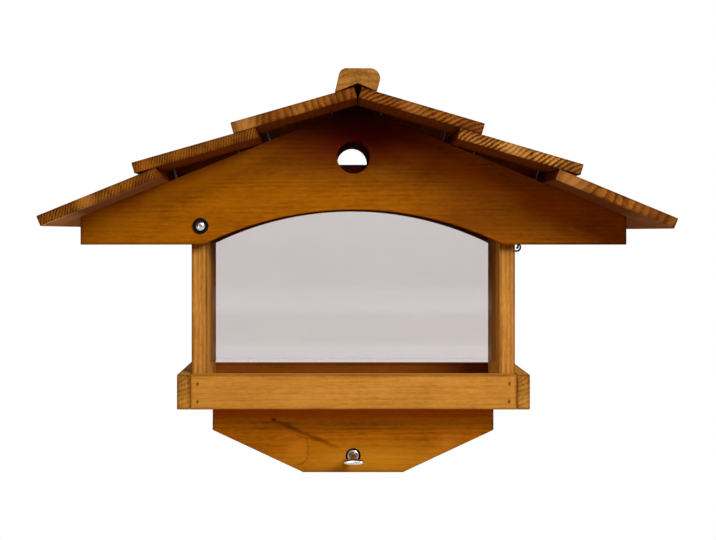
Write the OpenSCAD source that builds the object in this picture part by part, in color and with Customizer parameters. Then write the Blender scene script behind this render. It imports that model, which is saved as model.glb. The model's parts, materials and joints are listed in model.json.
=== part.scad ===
// Wooden bird feeding house: a seed silo between two clear panes, an open tray
// all round it, a lapped plank roof that tilts up on two screws at the left,
// a hook and ring that hold it shut at the right, and a pole clamp underneath.
// Origin: middle of the footprint, on the underside of the pole clamp.
// +X is to the right, +Y to the back, +Z up.

/* [Tray] */
// Inside width of the tray, from side rail to side rail
tray_inner_w = 322; // [280:1:400]
// Inside depth of the tray, from front rail to rear rail
tray_inner_d = 96; // [88:1:150]
// Thickness of the rails, gables, bracket cheeks and rest batten
board_t = 13; // [10:0.5:18]
// Height of the rails
rail_h = 34.5; // [28:0.5:60]
// Thickness of the tray floor
floor_t = 15.5; // [10:0.5:20]

/* [Walls] */
// Thickness of the posts and side panels
wall_t = 15.5; // [13:0.5:20]
// Depth of each corner post, front to back
post_d = 22.5; // [16:0.5:26]
// Height of the feeding opening, from the rails to the gables
opening_h = 128; // [95:1:180]
// How far the walls reach up behind the gables
wall_lap = 32.5; // [28:0.5:38]

/* [Panes] */
// Thickness of each clear pane
pane_t = 3; // [2:0.5:4]
// Distance between the middles of the two panes
pane_spacing = 28; // [20:1:32]
// Depth of the grooves that hold the panes
groove_depth = 4; // [3:0.5:6]
// Clearance between a pane and its groove, on each side
pane_fit = 0.3; // [0.2:0.05:0.5]
// Height of the panes' lower edges above the rails
feed_gap = 8; // [3:0.5:20]
// How far the panes stand up above the walls
pane_rise = 3.5; // [1:0.5:8]

/* [Gables] */
// Width of each gable board
gable_w = 538; // [470:1:600]
// Height of a gable board at its two ends
gable_end_h = 27.2; // [22:0.2:40]
// Slope of the gables, in degrees, as the mean of both sides
roof_pitch = 22.3; // [19:0.1:26]
// How far the ridge lies to the right of the middle
ridge_shift = 3; // [-6:0.5:6]
// Width of the arch at the gables' lower edge
arch_w = 296.5; // [200:0.5:300]
// Height of the arch
arch_h = 34.5; // [20:0.5:40]
// Diameter of the round hole under the ridge
vent_d = 32; // [20:1:40]
// Height of that hole's centre above the gables' lower edge
vent_h = 86; // [78:0.5:90]

/* [Roof planks] */
// Width of each plank, measured down the slope
plank_w = 120; // [110:1:130]
// Thickness of each plank
plank_t = 10.6; // [8:0.2:14]
// How far each plank reaches over the one below it
plank_lap = 20.5; // [15:0.5:28]
// How far the planks stand out past the gables, front and back
overhang = 69; // [40:1:90]
// Gap between the two top planks along the ridge
ridge_gap = 1; // [1:0.5:4]
// Height of the ridge cap above its left foot
ridge_h = 22.8; // [18:0.2:30]
// Distance of the ridge cap's left foot from the ridge
ridge_foot_left = 21.4; // [18:0.2:24]
// Distance of the ridge cap's right foot from the ridge
ridge_foot_right = 17; // [15:0.2:24]
// Rounding of the ridge cap's upper left edge
ridge_round_left = 7; // [2:0.2:8]
// Rounding of the ridge cap's upper right edge
ridge_round_right = 9.6; // [2:0.2:10]
// How far the cap's left side leans in towards the top, in degrees
ridge_lean_left = 13; // [0:1:20]
// How far the cap's right side leans out towards the top, in degrees
ridge_lean_right = 21; // [0:1:25]

/* [Roof frame] */
// Width of the spreader beam between the gables
spreader_w = 40; // [34:1:50]
// Height of the spreader beam
spreader_h = 20; // [16:0.5:24]
// How far the beam's top lies below the middle of the round hole
spreader_drop = 6.6; // [4:0.2:9]
// Height of the batten that rests on the right wall
batten_h = 20; // [16:0.5:24]
// How much of the batten's thickness rests on the wall
batten_seat = 6.8; // [5:0.2:7]

/* [Roof pivot] */
// Distance of the pivot from the left wall's outer face
pivot_inset = 10.5; // [7:0.5:11]
// Height of the pivot above the gables' lower edge
pivot_h = 18.5; // [14:0.5:20]
// Diameter of the pivot screws
pivot_d = 6; // [4:0.5:7]
// Clearance between a pivot screw and its bore, on each side
pivot_fit = 0.25; // [0.1:0.05:0.4]
// Length of the pivot screws in the posts
pivot_grip = 18; // [10:0.5:19]
// Diameter of the pivot washers
washer_d = 15.6; // [12:0.2:18]
// Thickness of the pivot washers
washer_t = 1.2; // [0.8:0.1:2]
// Diameter of the pivot screws' heads
pivot_head_d = 9.2; // [8:0.2:11]
// Height of the pivot screws' heads
pivot_head_h = 3; // [2.4:0.1:4]

/* [Latch] */
// Thickness of the wall ring's wire
ring_wire = 1.8; // [1.2:0.1:2.4]
// Radius of the wall ring, to the middle of its wire
ring_r = 4; // [3.6:0.1:5]
// How far the ring's centre lies below the gables' lower edge
ring_drop = 3.3; // [1:0.1:6]
// Place of the ring, measured back from the middle of the wall
ring_y = 5; // [2:0.5:8]
// Length of the ring's screw in the wall
ring_grip = 11; // [6:0.5:11]
// Thickness of the hook's wire
hook_wire = 2; // [1.4:0.1:2.2]
// Length of the hook's bent tip
tip_len = 9; // [8:0.5:11]
// Radius of the hook's bend and of its eye, to the middle of the wire
bend_r = 2.8; // [2.6:0.1:3.2]
// Diameter of the pin that carries the hook
hook_pin_d = 3; // [2:0.1:3.2]

/* [Pole clamp] */
// Width of the bracket cheeks at the top
bracket_w = 283; // [250:1:300]
// Height of the bracket cheeks
bracket_h = 67; // [60:1:80]
// Height of the bracket cheeks' square ends
bracket_end_h = 24.4; // [15:0.2:30]
// Width of the bracket cheeks at the bottom
bracket_foot_w = 100.5; // [100:0.5:140]
// Side of the square socket for the pole
pole_w = 40; // [34:1:44]
// Width of each block beside the pole
block_w = 28; // [24:0.5:30]
// Height of each block beside the pole
block_h = 50; // [46:1:55]
// Height of the clamp screw above the foot
clamp_h = 16.5; // [14:0.5:20]
// Diameter of the clamp screw
clamp_d = 6; // [5:0.5:6]
// How far the clamp screw stands out of the front cheek
clamp_reach = 38; // [30:1:45]
// Span of the clamp screw's two wings
wing_span = 21; // [18:0.5:24]
// Thickness of the wings
wing_t = 2.6; // [2:0.1:4]
// Diameter of the threaded insert's collar
insert_collar_d = 11.5; // [11:0.1:14]
// Diameter of the sunk ring around the insert
insert_recess_d = 15; // [14.5:0.1:18]

/* [Fasteners] */
// Diameter of the roof nails
nail_d = 2.4; // [1.8:0.1:3]
// Length of the roof nails
nail_len = 40; // [34:1:42]
// Diameter of the roof nails' heads
nail_head_d = 5; // [4:0.2:6]
// Diameter of the brads in the rails
brad_d = 1.6; // [1:0.1:2]
// Length of the brads
brad_len = 24; // [20:0.5:25]
// Diameter of the dowels
dowel_d = 6; // [4:0.5:7]
// Depth of a dowel in each of its two pieces
dowel_grip = 8; // [6:0.5:9]
// Diameter of the wood screws
screw_d = 4; // [3:0.2:4.4]
// Length of the wood screws that hold the bracket under the floor
floor_screw_len = 36; // [30:1:38]
// Length of the wood screws that hold the ridge cap
ridge_screw_len = 50; // [46:1:54]
// Gap between pieces that move on each other
joint_gap = 0.3; // [0.2:0.05:0.5]

/* [Hidden] */
$fn = 96;
wire_fn = 32;
arch_fn = 360;
SIDES = ["left", "right"];
ENDS = ["front", "rear"];
COURSES = ["lower", "middle", "upper"];
course_numbers = [0 : len(COURSES) - 1];

// How far a cut runs past the face that it opens
past = 1;

// Levels
z_tray = bracket_h;
z_floor = z_tray + floor_t;
z_rail = z_tray + rail_h;
z_gable = z_rail + opening_h;
z_wall = z_gable + wall_lap;
z_vent = z_gable + vent_h;
z_spreader = z_vent - spreader_drop - spreader_h;
z_batten = z_wall + joint_gap;
z_apex = z_gable + gable_end_h + gable_w / 2 * tan(roof_pitch);

// Places across the width and the depth
wall_x = tray_inner_w / 2;
wall_in_x = wall_x - wall_t;
wall_mid_x = wall_x - wall_t / 2;
wall_y = tray_inner_d / 2;
post_in_y = wall_y - post_d;
gable_y = wall_y + joint_gap;
gable_mid_y = gable_y + board_t / 2;
plank_len = 2 * (gable_y + board_t + overhang);
cheek_y = pole_w / 2;
cheek_mid_y = cheek_y + board_t / 2;
cheek_out_y = cheek_y + board_t;

// Roof courses: where each plank's upper corner meets the gable, measured down
// the slope from the apex, and how much less than the gable it slopes. The lower
// planks lie flat on the gables. The middle ones rest on the upper corners of
// the lower ones, which lifts them, and the upper ones lie flat on the middle ones
reach = plank_w - plank_lap;
lift = asin(plank_t / reach);
u_upper = ridge_gap / 2 / cos(roof_pitch);
u_middle = u_upper + reach;
u_lower = u_middle + reach * cos(lift);
course_u = [u_lower, u_middle, u_upper];
course_lift = [0, lift, lift];

// Nails: one row near each plank's upper end and one near its lap
nail_top = 25;
nail_back = 8;
nail_edge = 16;
nail_head_t = 1;
lower_nail = gable_w / 2 / cos(roof_pitch) - u_lower - nail_edge;
course_nails = [[nail_top, lower_nail], [nail_top, reach - nail_back], [nail_top, reach - nail_back]];

// Latch: the hook hangs from the batten, and its tip stands just in front of
// the ring on the wall
pin_collar_t = 1.5;
pin_collar_d = 6;
pin_head_d = 7;
pin_head_t = 1.6;
pin_grip = 9;
batten_x = wall_x - batten_seat;
batten_out_x = batten_x + board_t;
hook_x = batten_out_x + pin_collar_t + joint_gap + hook_wire / 2;
z_ring = z_gable - ring_drop;
z_hook_pin = z_batten + batten_h / 2;
tip_gap = 0.5;
tip_rise = 0.6;
hook_y = ring_y - ring_wire / 2 - tip_gap - tip_len;
hook_len = z_hook_pin - z_ring + tip_rise;

// Roof pivot
pivot_x = -wall_x + pivot_inset;
z_pivot = z_gable + pivot_h;
washer_y = gable_y + board_t + joint_gap;
pivot_bore_r = pivot_d / 2 + pivot_fit;
socket_d = 4;
socket_depth = 1.6;
socket_sides = 6;

// Panes
pane_x = wall_in_x + groove_depth - pane_fit;
z_pane = z_rail + feed_gap;
pane_h = z_wall + pane_rise - z_pane;
groove_w = pane_t + 2 * pane_fit;

// Pole clamp
insert_collar_t = 1.5;
insert_recess = 2.5;
insert_d = 9;
insert_fit = 0.2;
wing_l = 12;
wing_gap = 1;
wing_hub_d = 8;
wing_hub_l = 7;
wing_lobe_r = 5.4;
clamp_tip_gap = 0.5;
block_x = pole_w / 2;
block_screw_x = block_x + block_w / 2;
block_screw_inset = 12;
block_screw_grip = 8;
block_screw_d = 4.5;
block_screw_heights = [block_screw_inset, block_h - block_screw_inset];
floor_screw_shift = 7;
floor_screw_inset = 31.5;
floor_screw_places = [block_screw_x + floor_screw_shift, bracket_w / 2 - floor_screw_inset];

// Brads: two near each end of the front and rear rails, into post and floor
brad_drop = 9;
brad_post_z = z_rail - brad_drop;
brad_floor_z = z_tray + floor_t / 2;
brad_inset = 7.5;
brad_side_y = 24;

// Dowels
wall_dowel_rise = 20;
wall_dowel_drop = 40;
wall_dowel_heights = [z_rail + wall_dowel_rise, z_wall - wall_dowel_drop];
spreader_dowel_x = spreader_w / 4;

// Height of a countersunk head, as a share of its screw's diameter
countersink = 0.55;

function side_sign(side) = side == "left" ? -1 : 1;

// Slope of the gables on one side: both start at the same height at the ends
function slope(side) =
    atan((z_apex - z_gable - gable_end_h) / (gable_w / 2 - side_sign(side) * ridge_shift));

// Ridge cap: its feet rest on the two top planks. Each side of its outline is a
// straight stretch that leans, up from the foot, and a rounding at the top
function ridge_foot(side) = side == "left" ? ridge_foot_left : ridge_foot_right;
function ridge_round(side) = side == "left" ? ridge_round_left : ridge_round_right;
function ridge_lean(side) = side == "left" ? ridge_lean_left : -ridge_lean_right;
function ridge_foot_z(side) = z_apex - u_upper * sin(slope(side))
    + plank_t / cos(slope(side) - lift)
    - (ridge_foot(side) - ridge_gap / 2) * tan(slope(side) - lift);
z_top = ridge_foot_z("left") + ridge_h;
z_notch = ridge_foot_z("left") + ridge_foot_left * tan(roof_pitch);

// Middle of a rounding, the corner that it takes off, and the outline from the
// top down to the foot, as drawn for the right
function ridge_middle(side) = [
    ridge_foot(side) - (ridge_round(side) + (z_top - ridge_round(side) - ridge_foot_z(side))
        * sin(ridge_lean(side))) / cos(ridge_lean(side)),
    z_top - ridge_round(side)
];
function ridge_corner(side) =
    ridge_middle(side) + ridge_round(side) * [tan((90 - ridge_lean(side)) / 2), 1];
function ridge_side(side) = [
    ridge_middle(side) + [0, ridge_round(side)],
    ridge_middle(side) + ridge_round(side) * [cos(ridge_lean(side)), sin(ridge_lean(side))],
    [ridge_foot(side), ridge_foot_z(side)]
];

// Helpers

// Draws its children as drawn for the right, or mirrored for the left
module on_side(side) {
    mirror([side == "left" ? 1 : 0, 0, 0]) children();
}

// Draws its children as drawn for the rear, or mirrored for the front
module on_end(end) {
    mirror([0, end == "front" ? 1 : 0, 0]) children();
}

// A box by its two corners
module box(low, high) {
    translate(low) cube(high - low);
}

// A cylinder along +Y from a point
module rod_y(at, length, d) {
    translate(at) rotate([-90, 0, 0]) cylinder(h = length, d = d);
}

// A cylinder along +X from a point
module rod_x(at, length, d) {
    translate(at) rotate([0, 90, 0]) cylinder(h = length, d = d);
}

// A countersunk wood screw along -Z, with its head's face at the origin
module wood_screw(length, d) {
    head_h = d * countersink;
    union() {
        translate([0, 0, -length]) cylinder(h = length - head_h / 2, d = d);
        translate([0, 0, -head_h]) cylinder(h = head_h, d1 = d, d2 = 2 * d);
    }
}

// Fasteners

module wall_dowels() {
    color("burlywood")
    for (side = SIDES, end = ENDS, z = wall_dowel_heights)
        on_side(side) on_end(end)
        rod_y([wall_mid_x, post_in_y - dowel_grip, z], 2 * dowel_grip, dowel_d);
}

module rail_brads() {
    color("dimgray") {
        for (side = SIDES, end = ENDS, z = [brad_post_z, brad_floor_z])
            on_side(side) on_end(end)
            rod_y([wall_x - brad_inset, wall_y + board_t - brad_len, z], brad_len, brad_d);
        for (side = SIDES, end = ENDS)
            on_side(side) on_end(end)
            rod_x([wall_x + board_t - brad_len, brad_side_y, brad_floor_z], brad_len, brad_d);
        for (side = SIDES)
            on_side(side)
            rod_x([wall_x + board_t - brad_len, 0, brad_post_z], brad_len, brad_d);
    }
}

module floor_screws() {
    color("silver")
    for (side = SIDES, end = ENDS, x = floor_screw_places)
        on_side(side) on_end(end)
        translate([x, cheek_mid_y, z_floor]) wood_screw(floor_screw_len, screw_d);
}

// They enter from the rear, so that the front cheek stays plain
module bracket_screws() {
    color("silver")
    for (side = SIDES, z = block_screw_heights)
        on_side(side)
        translate([block_screw_x, cheek_out_y, z]) rotate([-90, 0, 0])
        wood_screw(board_t + pole_w + block_screw_grip, block_screw_d);
}

module roof_dowels() {
    color("burlywood")
    for (end = ENDS) on_end(end) {
        for (side = SIDES) on_side(side)
            rod_y([spreader_dowel_x, gable_y - dowel_grip, z_spreader + spreader_h / 2],
                2 * dowel_grip, dowel_d);
        rod_y([batten_x + board_t / 2, gable_y - dowel_grip, z_hook_pin],
            2 * dowel_grip, dowel_d);
    }
}

module roof_nails() {
    color("gray")
    for (side = SIDES, course = course_numbers, along = course_nails[course], end = ENDS)
        on_plank(side, course) on_end(end)
        translate([along, gable_mid_y, 0]) union() {
            translate([0, 0, plank_t - nail_len]) cylinder(h = nail_len, d = nail_d);
            translate([0, 0, plank_t]) cylinder(h = nail_head_t, d = nail_head_d);
        }
}

module ridge_screws() {
    color("silver")
    for (end = ENDS) on_end(end)
        translate([ridge_shift, gable_mid_y, z_top]) wood_screw(ridge_screw_len, screw_d);
}

// Tray

module tray_floor() {
    color("peru")
    difference() {
        box([-wall_x, -wall_y, z_tray], [wall_x, wall_y, z_floor]);
        floor_screws();
        rail_brads();
    }
}

module tray_rail_long(end) {
    color("goldenrod")
    difference() {
        on_end(end) box([-wall_x, wall_y, z_tray], [wall_x, wall_y + board_t, z_rail]);
        rail_brads();
    }
}

module tray_rail_side(side) {
    color("goldenrod")
    difference() {
        on_side(side) box(
            [wall_x, -wall_y - board_t, z_tray], [wall_x + board_t, wall_y + board_t, z_rail]);
        rail_brads();
    }
}

// Walls

module post(end, side) {
    color("peru")
    difference() {
        on_side(side) on_end(end) box([wall_in_x, post_in_y, z_floor], [wall_x, wall_y, z_wall]);
        wall_dowels();
        rail_brads();
        if (side == "left") on_end(end) pivot_hole();
    }
}

module side_panel(side) {
    color("peru")
    difference() {
        on_side(side) box([wall_in_x, -post_in_y, z_floor], [wall_x, post_in_y, z_wall]);
        for (end = ENDS) on_side(side) on_end(end) pane_groove();
        wall_dowels();
        rail_brads();
        if (side == "right") ring_shank();
    }
}

// Blind at the bottom, where the pane rests, and open at the top
module pane_groove() {
    box([wall_in_x - past, pane_spacing / 2 - groove_w / 2, z_pane],
        [wall_in_x + groove_depth, pane_spacing / 2 + groove_w / 2, z_wall + past]);
}

module pivot_hole() {
    rod_y([pivot_x, wall_y - pivot_grip, z_pivot], pivot_grip + past, pivot_d);
}

// Panes

module pane(end) {
    color([0.75, 0.74, 0.72, 0.5])
    on_end(end) box([-pane_x, (pane_spacing - pane_t) / 2, z_pane],
        [pane_x, (pane_spacing + pane_t) / 2, z_pane + pane_h]);
}

// Pole clamp

module cheek_profile() {
    polygon([
        [-bracket_foot_w / 2, 0], [bracket_foot_w / 2, 0],
        [bracket_w / 2, bracket_h - bracket_end_h], [bracket_w / 2, bracket_h],
        [-bracket_w / 2, bracket_h], [-bracket_w / 2, bracket_h - bracket_end_h]
    ]);
}

module cheek_board() {
    translate([0, cheek_out_y, 0]) rotate([90, 0, 0])
        linear_extrude(board_t) cheek_profile();
}

module bracket_cheek_front() {
    color("peru")
    difference() {
        on_end("front") cheek_board();
        floor_screws();
        bracket_screws();
        rod_y([0, -cheek_out_y - past, clamp_h], insert_recess + past, insert_recess_d);
        rod_y([0, -cheek_out_y, clamp_h], board_t + past, insert_d);
    }
}

module bracket_cheek_rear() {
    color("peru")
    difference() {
        cheek_board();
        floor_screws();
        bracket_screws();
    }
}

module bracket_block(side) {
    color("burlywood")
    difference() {
        on_side(side) box([block_x, -cheek_y, 0], [block_x + block_w, cheek_y, block_h]);
        bracket_screws();
    }
}

module clamp_insert() {
    face_y = -cheek_out_y + insert_recess;
    color("silver")
    difference() {
        union() {
            rod_y([0, face_y - insert_collar_t, clamp_h], insert_collar_t, insert_collar_d);
            rod_y([0, face_y, clamp_h], board_t - insert_recess, insert_d);
        }
        rod_y([0, -cheek_out_y, clamp_h], board_t + past, clamp_d + 2 * insert_fit);
    }
}

module wing_screw() {
    front_y = -cheek_out_y - clamp_reach;
    lobe_x = wing_span / 2 - wing_lobe_r;
    color("silver")
    union() {
        rod_y([0, front_y + wing_gap, clamp_h],
            clamp_reach + board_t - wing_gap - clamp_tip_gap, clamp_d);
        rod_y([0, front_y + wing_l - wing_hub_l / 2, clamp_h], wing_hub_l, wing_hub_d);
        translate([0, front_y + wing_lobe_r, clamp_h - wing_t / 2]) linear_extrude(wing_t)
        union() {
            for (side = SIDES) translate([side_sign(side) * lobe_x, 0]) circle(wing_lobe_r);
            polygon([
                [-wing_span / 2, 0], [wing_span / 2, 0],
                [wing_hub_d / 2, wing_l - wing_lobe_r], [-wing_hub_d / 2, wing_l - wing_lobe_r]
            ]);
        }
    }
}

// Roof pivot

module pivot_screws() {
    head_y = washer_y + washer_t;
    color("silver")
    for (end = ENDS) on_end(end)
    difference() {
        union() {
            rod_y([pivot_x, wall_y - pivot_grip, z_pivot],
                head_y + pivot_head_h / 2 - wall_y + pivot_grip, pivot_d);
            translate([pivot_x, head_y, z_pivot]) rotate([-90, 0, 0]) button_head();
        }
        translate([pivot_x, head_y + pivot_head_h - socket_depth, z_pivot])
            rotate([-90, 0, 0]) cylinder(h = socket_depth + past, d = socket_d, $fn = socket_sides);
    }
}

// A domed head that stands on the origin
module button_head() {
    rim_h = pivot_head_h / 3;
    rise = pivot_head_h - rim_h;
    dome_r = (pow(pivot_head_d / 2, 2) + rise * rise) / (2 * rise);
    intersection() {
        cylinder(h = pivot_head_h, d = pivot_head_d);
        translate([0, 0, pivot_head_h - dome_r]) sphere(dome_r);
    }
}

module pivot_washers() {
    color("dimgray")
    for (end = ENDS) on_end(end)
    difference() {
        rod_y([pivot_x, washer_y, z_pivot], washer_t, washer_d);
        rod_y([pivot_x, washer_y - past, z_pivot], washer_t + 2 * past, pivot_d);
    }
}

// Roof frame

module gable_profile() {
    arch_r = (pow(arch_w / 2, 2) + arch_h * arch_h) / (2 * arch_h);
    difference() {
        polygon([
            [-gable_w / 2, 0], [gable_w / 2, 0], [gable_w / 2, gable_end_h],
            [ridge_shift, z_apex - z_gable], [-gable_w / 2, gable_end_h]
        ]);
        translate([0, arch_h - arch_r]) circle(arch_r, $fn = arch_fn);
        translate([0, vent_h]) circle(d = vent_d);
        translate([pivot_x, pivot_h]) circle(pivot_bore_r);
    }
}

module gable(end) {
    color("chocolate")
    difference() {
        on_end(end) translate([0, gable_y + board_t, z_gable]) rotate([90, 0, 0])
            linear_extrude(board_t) gable_profile();
        roof_nails();
        ridge_screws();
        roof_dowels();
    }
}

module spreader_beam() {
    color("peru")
    difference() {
        box([-spreader_w / 2, -gable_y, z_spreader],
            [spreader_w / 2, gable_y, z_spreader + spreader_h]);
        roof_dowels();
    }
}

module rest_batten() {
    color("peru")
    difference() {
        box([batten_x, -gable_y, z_batten], [batten_out_x, gable_y, z_batten + batten_h]);
        roof_dowels();
        hook_pin();
    }
}

// Roof planks

// Draws its children in a plank's own frame: X down the slope from the plank's
// upper end, Y along the ridge, Z out of its upper face
module on_plank(side, course) {
    u = course_u[course];
    pitch = slope(side);
    translate([ridge_shift, 0, z_apex]) on_side(side)
    translate([u * cos(pitch), 0, -u * sin(pitch)])
    rotate([0, pitch - course_lift[course], 0]) children();
}

module plank(side, course) {
    color("sienna")
    difference() {
        on_plank(side, course) box([0, -plank_len / 2, 0], [plank_w, plank_len / 2, plank_t]);
        roof_nails();
        ridge_screws();
    }
}

module ridge_profile() {
    union() {
        polygon(concat(
            [[0, z_notch]],
            [for (corner = [2 : -1 : 0]) ridge_side("right")[corner]],
            [for (corner = ridge_side("left")) [-corner[0], corner[1]]]
        ));
        for (side = SIDES)
            mirror([side == "left" ? 1 : 0, 0])
            intersection() {
                translate(ridge_middle(side)) circle(ridge_round(side));
                polygon([
                    ridge_middle(side), ridge_side(side)[0],
                    ridge_corner(side), ridge_side(side)[1]
                ]);
            }
    }
}

module ridge_cap() {
    color("sandybrown")
    difference() {
        translate([ridge_shift, plank_len / 2, 0]) rotate([90, 0, 0])
            linear_extrude(plank_len) ridge_profile();
        ridge_screws();
    }
}

// Latch

module ring_shank() {
    rod_x([wall_x - ring_grip, ring_y, z_ring], hook_x - ring_r - wall_x + ring_grip, ring_wire);
}

module latch_ring() {
    color("dimgray")
    union() {
        ring_shank();
        translate([hook_x, ring_y, z_ring]) rotate([90, 0, 0])
            rotate_extrude() translate([ring_r, 0]) circle(d = ring_wire, $fn = wire_fn);
    }
}

module hook_pin() {
    color("dimgray")
    union() {
        rod_x([batten_out_x - pin_grip, hook_y, z_hook_pin],
            hook_x + hook_wire / 2 + joint_gap - batten_out_x + pin_grip + pin_head_t / 2, hook_pin_d);
        rod_x([batten_out_x, hook_y, z_hook_pin], pin_collar_t, pin_collar_d);
        rod_x([hook_x + hook_wire / 2 + joint_gap, hook_y, z_hook_pin], pin_head_t, pin_head_d);
    }
}

// An eye round the pin, a straight shank and a tip bent towards the rear
module latch_hook() {
    z_tip = z_hook_pin - hook_len;
    color("dimgray")
    union() {
        translate([hook_x, hook_y, z_hook_pin]) rotate([0, 90, 0])
            rotate_extrude() translate([bend_r, 0]) circle(d = hook_wire, $fn = wire_fn);
        translate([hook_x, hook_y, z_tip + bend_r])
            cylinder(h = hook_len - 2 * bend_r, d = hook_wire);
        translate([hook_x, hook_y + bend_r, z_tip + bend_r]) rotate([0, 90, 0]) rotate([0, 0, -90])
            rotate_extrude(angle = 90) translate([bend_r, 0]) circle(d = hook_wire, $fn = wire_fn);
        rod_y([hook_x, hook_y + bend_r, z_tip], tip_len - bend_r - hook_wire / 2, hook_wire);
        translate([hook_x, hook_y + tip_len - hook_wire / 2, z_tip]) sphere(d = hook_wire, $fn = wire_fn);
    }
}

tray_floor();
for (end = ENDS)
    tray_rail_long(end);
for (side = SIDES) {
    tray_rail_side(side);
    side_panel(side);
    bracket_block(side);
    for (end = ENDS)
        post(end, side);
    for (course = course_numbers)
        plank(side, course);
}
wall_dowels();
rail_brads();
bracket_cheek_front();
bracket_cheek_rear();
bracket_screws();
floor_screws();
clamp_insert();
wing_screw();
pivot_screws();
pivot_washers();
latch_ring();
for (end = ENDS) {
    pane(end);
    gable(end);
}
spreader_beam();
rest_batten();
roof_dowels();
roof_nails();
ridge_cap();
ridge_screws();
hook_pin();
latch_hook();
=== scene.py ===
"""The looks of the wooden bird feeding house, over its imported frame."""

import json
import math

import bmesh
import bpy
from mathutils import Matrix, Vector


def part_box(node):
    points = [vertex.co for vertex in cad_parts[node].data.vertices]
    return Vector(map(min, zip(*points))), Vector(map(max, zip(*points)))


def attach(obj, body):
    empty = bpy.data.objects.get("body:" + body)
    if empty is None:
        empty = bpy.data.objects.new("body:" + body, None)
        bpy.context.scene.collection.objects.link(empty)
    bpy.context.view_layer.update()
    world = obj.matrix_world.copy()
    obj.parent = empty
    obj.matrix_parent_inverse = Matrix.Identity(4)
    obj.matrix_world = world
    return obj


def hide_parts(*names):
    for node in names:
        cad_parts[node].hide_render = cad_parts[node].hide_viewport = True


SIDES = ("left", "right")
ENDS = ("front", "rear")
X_AXIS = Vector((1, 0, 0))
Y_AXIS = Vector((0, 1, 0))
Z_AXIS = Vector((0, 0, 1))
WHITE = (1, 1, 1, 1)

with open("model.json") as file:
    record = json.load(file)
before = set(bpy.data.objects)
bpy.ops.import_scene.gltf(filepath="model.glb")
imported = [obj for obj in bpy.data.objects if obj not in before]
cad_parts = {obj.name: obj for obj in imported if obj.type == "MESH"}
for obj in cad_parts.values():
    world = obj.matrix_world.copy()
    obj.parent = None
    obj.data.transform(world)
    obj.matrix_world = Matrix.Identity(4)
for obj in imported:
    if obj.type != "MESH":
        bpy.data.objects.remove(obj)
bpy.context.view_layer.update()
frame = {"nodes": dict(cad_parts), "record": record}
body_of_node = {
    node: body for body, nodes in frame["record"]["behaviour"]["bodies"].items() for node in nodes
}


# Shaders

def srgb(red, green, blue):
    """A colour given as 0 to 255, as linear light with alpha."""
    def linear(value):
        share = value / 255
        return share / 12.92 if share <= 0.04045 else ((share + 0.055) / 1.055) ** 2.4
    return (linear(red), linear(green), linear(blue), 1)


class Shader:
    """A material's node tree, with a short call for each kind of node."""

    def __init__(self, name):
        self.material = bpy.data.materials.new(name)
        self.material.use_nodes = True
        self.tree = self.material.node_tree
        self.surface = self.tree.nodes["Principled BSDF"]
        self.output = self.tree.nodes["Material Output"]
        self.coords = self.add("TexCoord")

    def add(self, kind, **settings):
        node = self.tree.nodes.new("ShaderNode" + kind)
        for name, value in settings.items():
            setattr(node, name, value)
        return node

    def feed(self, socket, value):
        if isinstance(value, bpy.types.NodeSocket):
            self.tree.links.new(value, socket)
        else:
            socket.default_value = value

    def calculate(self, operation, *values, clamp=False):
        node = self.add("Math", operation=operation, use_clamp=clamp)
        for socket, value in zip(node.inputs, values):
            self.feed(socket, value)
        return node.outputs[0]

    def multiply(self, first, second, clamp=False):
        return self.calculate("MULTIPLY", first, second, clamp=clamp)

    def scaled(self, value, factor, base, clamp=False):
        """value times factor, on top of base."""
        return self.calculate("MULTIPLY_ADD", value, factor, base, clamp=clamp)

    def swayed(self, base, noise, factor, clamp=False):
        """base, moved by factor times how far the noise is from its middle."""
        return self.scaled(self.calculate("SUBTRACT", noise, 0.5), factor, base, clamp)

    def split(self, vector):
        """The x, y and z of a vector."""
        node = self.add("SeparateXYZ")
        self.feed(node.inputs[0], vector)
        return node.outputs

    def facing(self, direction):
        """How far the surface faces that way, from -1 to 1."""
        node = self.add("VectorMath", operation="DOT_PRODUCT")
        self.feed(node.inputs[0], self.coords.outputs["Normal"])
        node.inputs[1].default_value = direction
        return node.outputs["Value"]

    def placed(self, vector, location=(0, 0, 0), rotation=(0, 0, 0), scale=(1, 1, 1)):
        """The vector as seen from a frame at that place, turned and scaled like that."""
        node = self.add("Mapping", vector_type="TEXTURE")
        self.feed(node.inputs["Vector"], vector)
        node.inputs["Location"].default_value = location
        node.inputs["Rotation"].default_value = rotation
        node.inputs["Scale"].default_value = scale
        return node.outputs[0]

    def noise(self, vector, cell, detail=2, roughness=0.5):
        """Smooth noise from 0 to 1, with cells of that size (x, y, z) in metres."""
        node = self.add("TexNoise")
        self.feed(node.inputs["Vector"], self.placed(vector, scale=cell))
        node.inputs["Scale"].default_value = 1
        node.inputs["Detail"].default_value = detail
        node.inputs["Roughness"].default_value = roughness
        return node.outputs["Fac"]

    def curve(self, value, *stops):
        """value looked up on a curve of (position, height) stops."""
        node = self.add("ValToRGB")
        ramp = node.color_ramp
        while len(ramp.elements) < len(stops):
            ramp.elements.new(1)
        for element, (position, height) in zip(ramp.elements, stops):
            element.position = position
            element.color = (height, height, height, 1)
        self.feed(node.inputs["Fac"], value)
        return node.outputs["Color"]

    def blend(self, share, first, second, mode="MIX"):
        """The first colour, with that share of the second one."""
        node = self.add("Mix", data_type="RGBA", blend_type=mode)
        self.feed(node.inputs[0], share)
        self.feed(node.inputs[6], first)
        self.feed(node.inputs[7], second)
        return node.outputs[2]

    def bump(self, height, depth, strength):
        node = self.add("Bump")
        node.inputs["Strength"].default_value = strength
        node.inputs["Distance"].default_value = depth
        self.feed(node.inputs["Height"], height)
        self.feed(self.surface.inputs["Normal"], node.outputs["Normal"])

    def set(self, **values):
        """Sets the surface's own sockets, whose names have underscores for spaces here."""
        for name, value in values.items():
            self.feed(self.surface.inputs[name.replace("_", " ")], value)


# Wood

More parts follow.
